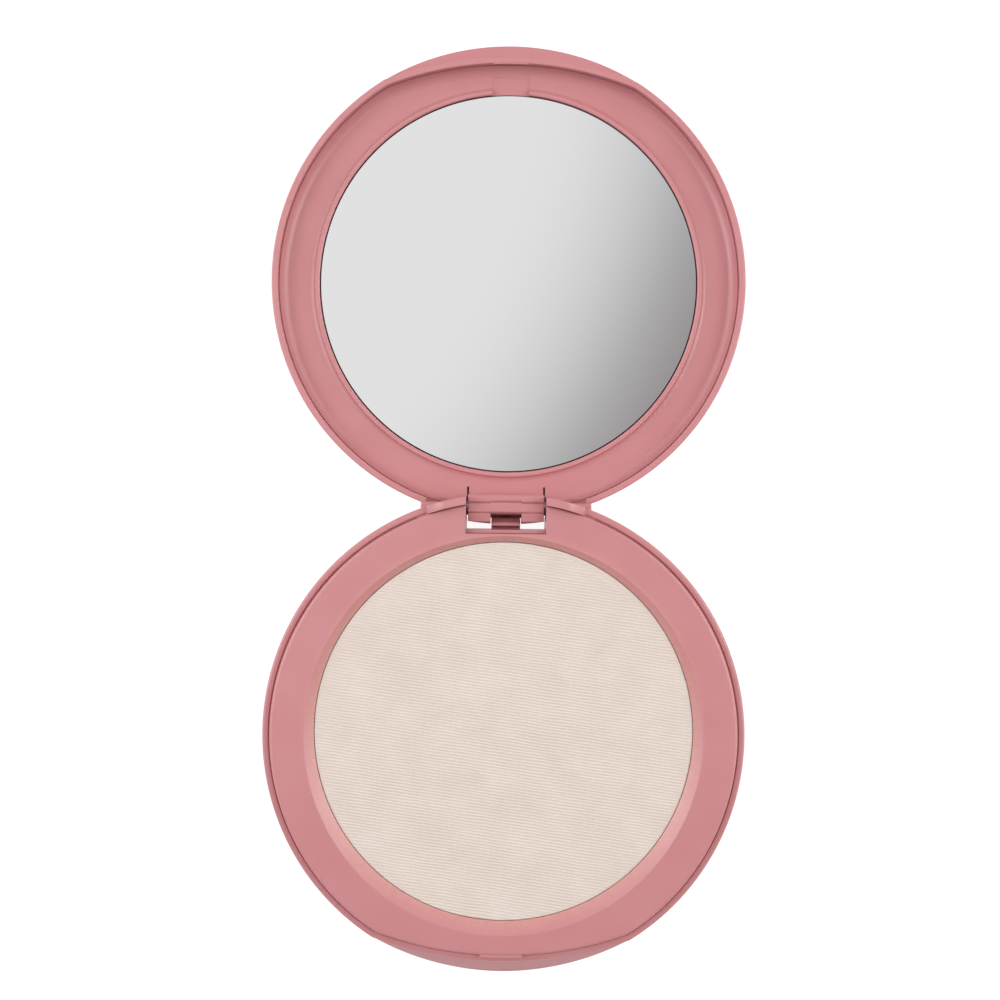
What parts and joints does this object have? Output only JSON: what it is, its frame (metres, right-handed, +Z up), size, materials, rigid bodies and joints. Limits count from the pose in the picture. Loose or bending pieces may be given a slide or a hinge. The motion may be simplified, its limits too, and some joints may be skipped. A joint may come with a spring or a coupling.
{
  "type": "powder compact",
  "caption": "Round hinged compact lying open flat: lid with a round mirror, base with a pan of pressed face powder, thumb scoops and a snap catch at the front.",
  "frame": {"origin": "on the surface that the open compact lies on, under the middle of the hinge axis", "axes": "+X along the hinge pin, +Y from the hinge towards the front of the open lid, +Z up; the base reaches towards -Y"},
  "size_m": [0.076, 0.148, 0.0137],
  "materials": {
    "rose_plastic": "satin moulded ABS, dusty rose",
    "pressed_powder": "matte pressed powder with a fine ribbed embossing, ivory beige",
    "pan_metal": "drawn and tumbled aluminium",
    "mirror_glass": "back-silvered float glass",
    "pin_steel": "drawn steel wire",
    "adhesive": "soft adhesive foam",
    "label_paper": "blank coated paper label"
  },
  "bodies": {
    "base": {"base_shell": "rose_plastic", "pan_tray": "rose_plastic", "base_label": "label_paper", "powder_pan": "pan_metal", "pressed_powder": "pressed_powder", "pan_adhesive": "adhesive", "hinge_pin": "pin_steel"},
    "lid": {"lid_cover": "rose_plastic", "mirror_frame": "rose_plastic", "mirror": "mirror_glass", "mirror_tape": "adhesive"}
  },
  "joints": [
    {"name": "lid_hinge", "type": "hinge", "parent": "base", "child": "lid", "pos_m": [0, 0, 0.00875], "axis": [1, 0, 0], "range_deg": [0, 180]}
  ]
}
